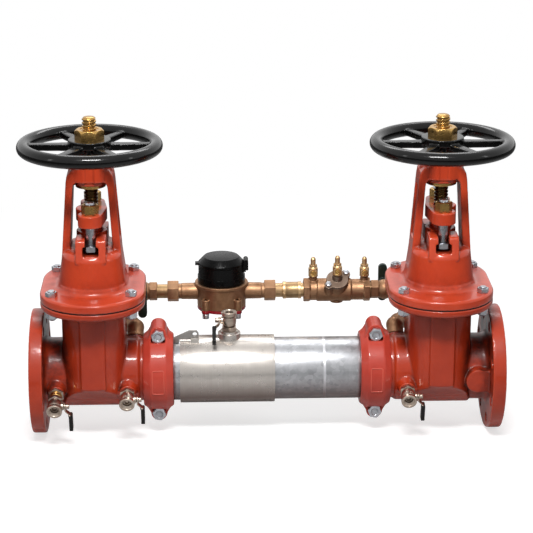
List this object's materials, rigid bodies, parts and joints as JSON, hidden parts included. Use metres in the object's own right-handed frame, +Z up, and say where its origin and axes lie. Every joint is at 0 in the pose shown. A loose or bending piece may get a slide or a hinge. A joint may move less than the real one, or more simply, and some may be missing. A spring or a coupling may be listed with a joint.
{
  "type": "backflow detector assembly",
  "caption": "Double check detector assembly for a fire line: flanged rising-stem gate valves, check housing under a sliding sleeve, metered bypass with its own small double check.",
  "frame": {"origin": "centre of the inlet flange's face", "axes": "+X along the flow towards the outlet flange, +Z up along the valve stems, -Y towards the test cocks"},
  "size_m": [0.8884, 0.3335, 0.5913],
  "materials": {
    "red_enamel": "glossy baked enamel over cast iron",
    "coupling_enamel": "satin enamel over ductile iron",
    "black_enamel": "glossy black enamel over cast iron",
    "stem_brass": "machined, dulled threads",
    "nut_brass": "bright machined",
    "bronze": "cast bronze, tarnished",
    "nickel": "nickel plated bronze",
    "zinc_steel": "bright zinc plate",
    "stainless": "turned and brushed along its round",
    "galvanised": "galvanised",
    "rubber": "matt",
    "coated_wedge": "moulded rubber over ductile iron",
    "black_plastic": "textured",
    "crimson_enamel": "satin enamel over cast iron",
    "register_white": "blank white dial",
    "hand_red": "plain",
    "poppet_plastic": "plain",
    "green_handle": "dark green coating"
  },
  "bodies": {
    "assembly": {"left_valve_body": "red_enamel", "right_valve_body": "red_enamel", "left_bonnet": "red_enamel", "right_bonnet": "red_enamel", "gland_followers": "red_enamel", "bonnet_bolts": "zinc_steel", "bonnet_gaskets": "rubber", "gland_bolts": "zinc_steel", "gland_nuts": "nut_brass", "packing_rings": "rubber", "left_coupling": "coupling_enamel", "right_coupling": "coupling_enamel", "coupling_gaskets": "rubber", "coupling_bolts": "zinc_steel", "housing_tube": "galvanised", "lock_plate": "stainless", "check_modules": "stainless", "test_cock_1": "nickel", "test_cock_2": "nickel", "test_cock_4": "nickel", "inlet_elbows": "bronze", "outlet_elbows": "bronze", "inlet_isolation_valve": "bronze", "outlet_isolation_valve": "bronze", "union_nuts": "bronze", "bypass_nipples": "bronze", "meter_body": "bronze", "meter_base_plate": "crimson_enamel", "bypass_bolts": "zinc_steel", "meter_register": "register_white", "meter_shroud": "black_plastic", "small_check_body": "bronze", "small_check_cover": "bronze", "gauge_cocks": "nut_brass"},
    "left_wheel": {"left_handwheel": "black_enamel", "left_stem_nut": "nut_brass"},
    "right_wheel": {"right_handwheel": "black_enamel", "right_stem_nut": "nut_brass"},
    "left_gate": {"left_stem": "stem_brass", "left_wedge": "coated_wedge"},
    "right_gate": {"right_stem": "stem_brass", "right_wedge": "coated_wedge"},
    "sleeve": {"access_sleeve": "stainless", "sleeve_seals": "rubber", "test_cock_3": "nickel"},
    "lever_1": {"cock_lever_1": "nickel"},
    "lever_2": {"cock_lever_2": "nickel"},
    "lever_3": {"cock_lever_3": "nickel"},
    "lever_4": {"cock_lever_4": "nickel"},
    "inlet_handle": {"inlet_isolation_handle": "green_handle"},
    "outlet_handle": {"outlet_isolation_handle": "green_handle"},
    "lid": {"meter_lid": "black_plastic"},
    "hand": {"register_hand": "hand_red"},
    "screw_1": {"gauge_screw_1": "nut_brass"},
    "screw_2": {"gauge_screw_2": "nut_brass"},
    "screw_3": {"gauge_screw_3": "nut_brass"},
    "clapper_1": {"first_clapper": "stainless"},
    "clapper_2": {"second_clapper": "stainless"},
    "poppets": {"small_check_poppets": "poppet_plastic"}
  },
  "joints": [
    {"name": "left_wheel_turn", "type": "hinge", "parent": "assembly", "child": "left_wheel", "pos_m": [0.1143, 0, 0.424], "axis": [0, 0, 1], "range_deg": [0, 6120]},
    {"name": "left_gate_lift", "type": "slide", "parent": "assembly", "child": "left_gate", "axis": [0, 0, 1], "range_m": [0, 0.108]},
    {"name": "right_wheel_turn", "type": "hinge", "parent": "assembly", "child": "right_wheel", "pos_m": [0.7427, 0, 0.424], "axis": [0, 0, 1], "range_deg": [0, 6120]},
    {"name": "right_gate_lift", "type": "slide", "parent": "assembly", "child": "right_gate", "axis": [0, 0, 1], "range_m": [0, 0.108]},
    {"name": "sleeve_shift", "type": "slide", "parent": "assembly", "child": "sleeve", "axis": [1, 0, 0], "range_m": [0, 0.154]},
    {"name": "cock_1_turn", "type": "hinge", "parent": "assembly", "child": "lever_1", "pos_m": [0.0453, -0.10818, -0.02899], "axis": [-1, 0, 0], "range_deg": [0, 90]},
    {"name": "cock_2_turn", "type": "hinge", "parent": "assembly", "child": "lever_2", "pos_m": [0.1743, -0.0908, -0.02433], "axis": [-1, 0, 0], "range_deg": [0, 90]},
    {"name": "cock_3_turn", "type": "hinge", "parent": "sleeve", "child": "lever_3", "pos_m": [0.36, 0, 0.09375], "axis": [-1, 0, 0], "range_deg": [0, 90]},
    {"name": "cock_4_turn", "type": "hinge", "parent": "assembly", "child": "lever_4", "pos_m": [0.6827, -0.0908, -0.02433], "axis": [-1, 0, 0], "range_deg": [0, 90]},
    {"name": "inlet_isolation_turn", "type": "hinge", "parent": "assembly", "child": "inlet_handle", "pos_m": [0.1985, 0.15, 0.101], "axis": [0, -1, 0], "range_deg": [0, 90]},
    {"name": "outlet_isolation_turn", "type": "hinge", "parent": "assembly", "child": "outlet_handle", "pos_m": [0.6585, 0.15, 0.101], "axis": [0, 1, 0], "range_deg": [0, 90]},
    {"name": "lid_turn", "type": "hinge", "parent": "assembly", "child": "lid", "pos_m": [0.394, 0.15, 0.161], "axis": [0, 1, 0], "range_deg": [0, 110]},
    {"name": "hand_turn", "type": "hinge", "parent": "assembly", "child": "hand", "pos_m": [0.3475, 0.15, 0.145], "axis": [0, 0, 1], "continuous": true},
    {"name": "screw_1_turn", "type": "hinge", "parent": "assembly", "child": "screw_1", "pos_m": [0.522, 0.15, 0.1375], "axis": [0, -1, 0], "range_deg": [0, 90]},
    {"name": "screw_2_turn", "type": "hinge", "parent": "assembly", "child": "screw_2", "pos_m": [0.567, 0.133, 0.145], "axis": [0, -1, 0], "range_deg": [0, 90]},
    {"name": "screw_3_turn", "type": "hinge", "parent": "assembly", "child": "screw_3", "pos_m": [0.6195, 0.15, 0.1375], "axis": [0, -1, 0], "range_deg": [0, 90]},
    {"name": "clapper_1_swing", "type": "hinge", "parent": "assembly", "child": "clapper_1", "pos_m": [0.3105, 0, 0.046], "axis": [0, -1, 0], "range_deg": [0, 70], "stiffness_Nm_per_rad": 0.2, "springref_deg": -28.65},
    {"name": "clapper_2_swing", "type": "hinge", "parent": "assembly", "child": "clapper_2", "pos_m": [0.4165, 0, 0.046], "axis": [0, -1, 0], "range_deg": [0, 70], "stiffness_Nm_per_rad": 0.2, "springref_deg": -28.65},
    {"name": "poppet_shift", "type": "slide", "parent": "assembly", "child": "poppets", "axis": [1, 0, 0], "range_m": [0, 0.008], "stiffness_N_per_m": 60, "springref_m": -0.003}
  ],
  "couplings": [
    {"joint": "left_gate_lift", "follows": "left_wheel_turn", "m_per_rad": 0.0010106},
    {"joint": "right_gate_lift", "follows": "right_wheel_turn", "m_per_rad": 0.0010106}
  ]
}
